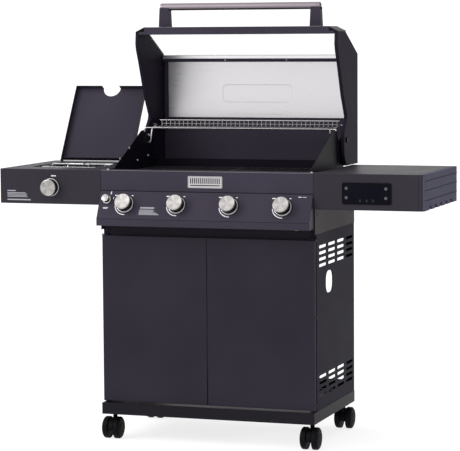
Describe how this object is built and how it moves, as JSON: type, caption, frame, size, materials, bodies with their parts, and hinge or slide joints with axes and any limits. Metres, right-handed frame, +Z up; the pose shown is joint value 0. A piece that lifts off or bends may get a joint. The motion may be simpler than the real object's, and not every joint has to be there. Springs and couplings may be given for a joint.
{
  "type": "gas barbecue grill",
  "caption": "Cart gas grill with an open windowed hood, sloped control panel, side burner shelf, plain side shelf, two-door cabinet and twin-wheel casters.",
  "frame": {"origin": "on the floor under the middle of the bounding box at rest, hood and side lid open", "axes": "+X to the right as seen by the cook, +Y from the controls to the back, +Z up"},
  "size_m": [1.37, 0.5876, 1.362],
  "materials": {
    "graphite_paint": "satin",
    "warm_paint": "satin",
    "black_steel": "matte",
    "stainless": "brushed",
    "chrome": "polished",
    "dark_brushed": "brushed",
    "cast_iron": "matte",
    "brass": "satin",
    "black_plastic": "matte",
    "grey_plastic": "matte",
    "gloss_black": "gloss",
    "window_glass": "clear"
  },
  "bodies": {
    "cart": {"base_tray": "graphite_paint", "side_panel_left": "graphite_paint", "side_panel_right": "graphite_paint", "rear_frame": "black_steel", "front_rail": "black_steel", "control_panel": "graphite_paint", "gas_manifold": "brass", "bezel_1": "chrome", "bezel_2": "chrome", "bezel_3": "chrome", "bezel_4": "chrome", "firebox": "black_steel", "drip_funnel": "stainless", "burner_1": "stainless", "burner_2": "stainless", "burner_3": "stainless", "burner_4": "stainless", "flame_tamer_1": "stainless", "flame_tamer_2": "stainless", "flame_tamer_3": "stainless", "flame_tamer_4": "stainless", "cooking_grate_left": "cast_iron", "cooking_grate_right": "cast_iron", "left_shelf": "warm_paint", "right_shelf": "warm_paint", "left_shelf_end": "grey_plastic", "right_shelf_end": "grey_plastic", "display_panel": "gloss_black", "side_burner": "cast_iron", "side_trivet": "chrome", "side_bezel": "chrome"},
    "hood": {"hood_cap_left": "graphite_paint", "hood_cap_right": "graphite_paint", "hood_front_panel": "graphite_paint", "hood_window": "window_glass", "hood_top_panel": "graphite_paint", "hood_liner": "stainless", "handle_bar": "dark_brushed", "handle_post_left": "graphite_paint", "handle_post_right": "graphite_paint"},
    "bail": {"rack_bail": "chrome"},
    "rack": {"warming_rack": "chrome"},
    "side_lid": {"side_lid": "graphite_paint"},
    "door_left": {"door_left": "graphite_paint"},
    "door_right": {"door_right": "graphite_paint"},
    "grease_tray": {"grease_tray": "stainless"},
    "igniter": {"igniter_button": "stainless"},
    "side_knob": {"side_knob": "stainless"},
    "knob_1": {"knob_1": "stainless"},
    "knob_2": {"knob_2": "stainless"},
    "knob_3": {"knob_3": "stainless"},
    "knob_4": {"knob_4": "stainless"},
    "caster_front_left": {"caster_front_left_swivel": "black_plastic"},
    "wheels_front_left": {"caster_front_left_wheels": "black_plastic"},
    "caster_front_right": {"caster_front_right_swivel": "black_plastic"},
    "wheels_front_right": {"caster_front_right_wheels": "black_plastic"},
    "caster_rear_left": {"caster_rear_left_swivel": "black_plastic"},
    "wheels_rear_left": {"caster_rear_left_wheels": "black_plastic"},
    "caster_rear_right": {"caster_rear_right_swivel": "black_plastic"},
    "wheels_rear_right": {"caster_rear_right_wheels": "black_plastic"}
  },
  "joints": [
    {"name": "hood_hinge", "type": "hinge", "parent": "cart", "child": "hood", "pos_m": [0, 0.15539, 0.927], "axis": [1, 0, 0], "range_deg": [0, 85]},
    {"name": "bail_pivot", "type": "hinge", "parent": "cart", "child": "bail", "pos_m": [0, 0.11039, 0.915], "axis": [1, 0, 0], "range_deg": [0, 85]},
    {"name": "rack_pivot", "type": "hinge", "parent": "bail", "child": "rack", "pos_m": [0, 0.12839, 0.96], "axis": [1, 0, 0], "range_deg": [-85, 0]},
    {"name": "side_lid_hinge", "type": "hinge", "parent": "cart", "child": "side_lid", "pos_m": [-0.5148, 0.13839, 0.852], "axis": [1, 0, 0], "range_deg": [0, 121]},
    {"name": "door_left_hinge", "type": "hinge", "parent": "cart", "child": "door_left", "pos_m": [-0.338, -0.22061, 0.3825], "axis": [0, 0, -1], "range_deg": [0, 110]},
    {"name": "door_right_hinge", "type": "hinge", "parent": "cart", "child": "door_right", "pos_m": [0.338, -0.22061, 0.3825], "axis": [0, 0, 1], "range_deg": [0, 110]},
    {"name": "grease_tray_slide", "type": "slide", "parent": "cart", "child": "grease_tray", "axis": [0, 1, 0], "range_m": [0, 0.3]},
    {"name": "igniter_push", "type": "slide", "parent": "cart", "child": "igniter", "axis": [0, 0.8965, -0.443], "range_m": [0, 0.005], "stiffness_N_per_m": 300},
    {"name": "side_knob_turn", "type": "hinge", "parent": "cart", "child": "side_knob", "pos_m": [-0.511, -0.23561, 0.79], "axis": [0, -1, 0], "range_deg": [0, 270]},
    {"name": "knob_1_turn", "type": "hinge", "parent": "cart", "child": "knob_1", "pos_m": [-0.255, -0.25586, 0.74203], "axis": [0, -0.8965, 0.443], "range_deg": [0, 270]},
    {"name": "knob_2_turn", "type": "hinge", "parent": "cart", "child": "knob_2", "pos_m": [-0.085, -0.25586, 0.74203], "axis": [0, -0.8965, 0.443], "range_deg": [0, 270]},
    {"name": "knob_3_turn", "type": "hinge", "parent": "cart", "child": "knob_3", "pos_m": [0.085, -0.25586, 0.74203], "axis": [0, -0.8965, 0.443], "range_deg": [0, 270]},
    {"name": "knob_4_turn", "type": "hinge", "parent": "cart", "child": "knob_4", "pos_m": [0.255, -0.25586, 0.74203], "axis": [0, -0.8965, 0.443], "range_deg": [0, 270]},
    {"name": "caster_front_left_swivel", "type": "hinge", "parent": "cart", "child": "caster_front_left", "pos_m": [-0.324, -0.18561, 0.06], "axis": [0, 0, 1], "continuous": true},
    {"name": "caster_front_left_roll", "type": "hinge", "parent": "caster_front_left", "child": "wheels_front_left", "pos_m": [-0.324, -0.20261, 0.0345], "axis": [1, 0, 0], "continuous": true},
    {"name": "caster_front_right_swivel", "type": "hinge", "parent": "cart", "child": "caster_front_right", "pos_m": [0.324, -0.18561, 0.06], "axis": [0, 0, 1], "continuous": true},
    {"name": "caster_front_right_roll", "type": "hinge", "parent": "caster_front_right", "child": "wheels_front_right", "pos_m": [0.324, -0.20261, 0.0345], "axis": [1, 0, 0], "continuous": true},
    {"name": "caster_rear_left_swivel", "type": "hinge", "parent": "cart", "child": "caster_rear_left", "pos_m": [-0.324, 0.15639, 0.06], "axis": [0, 0, 1], "continuous": true},
    {"name": "caster_rear_left_roll", "type": "hinge", "parent": "caster_rear_left", "child": "wheels_rear_left", "pos_m": [-0.324, 0.17339, 0.0345], "axis": [1, 0, 0], "continuous": true},
    {"name": "caster_rear_right_swivel", "type": "hinge", "parent": "cart", "child": "caster_rear_right", "pos_m": [0.324, 0.15639, 0.06], "axis": [0, 0, 1], "continuous": true},
    {"name": "caster_rear_right_roll", "type": "hinge", "parent": "caster_rear_right", "child": "wheels_rear_right", "pos_m": [0.324, 0.17339, 0.0345], "axis": [1, 0, 0], "continuous": true}
  ],
  "couplings": [
    {"joint": "bail_pivot", "follows": "hood_hinge", "ratio": 1},
    {"joint": "rack_pivot", "follows": "hood_hinge", "ratio": -1}
  ]
}
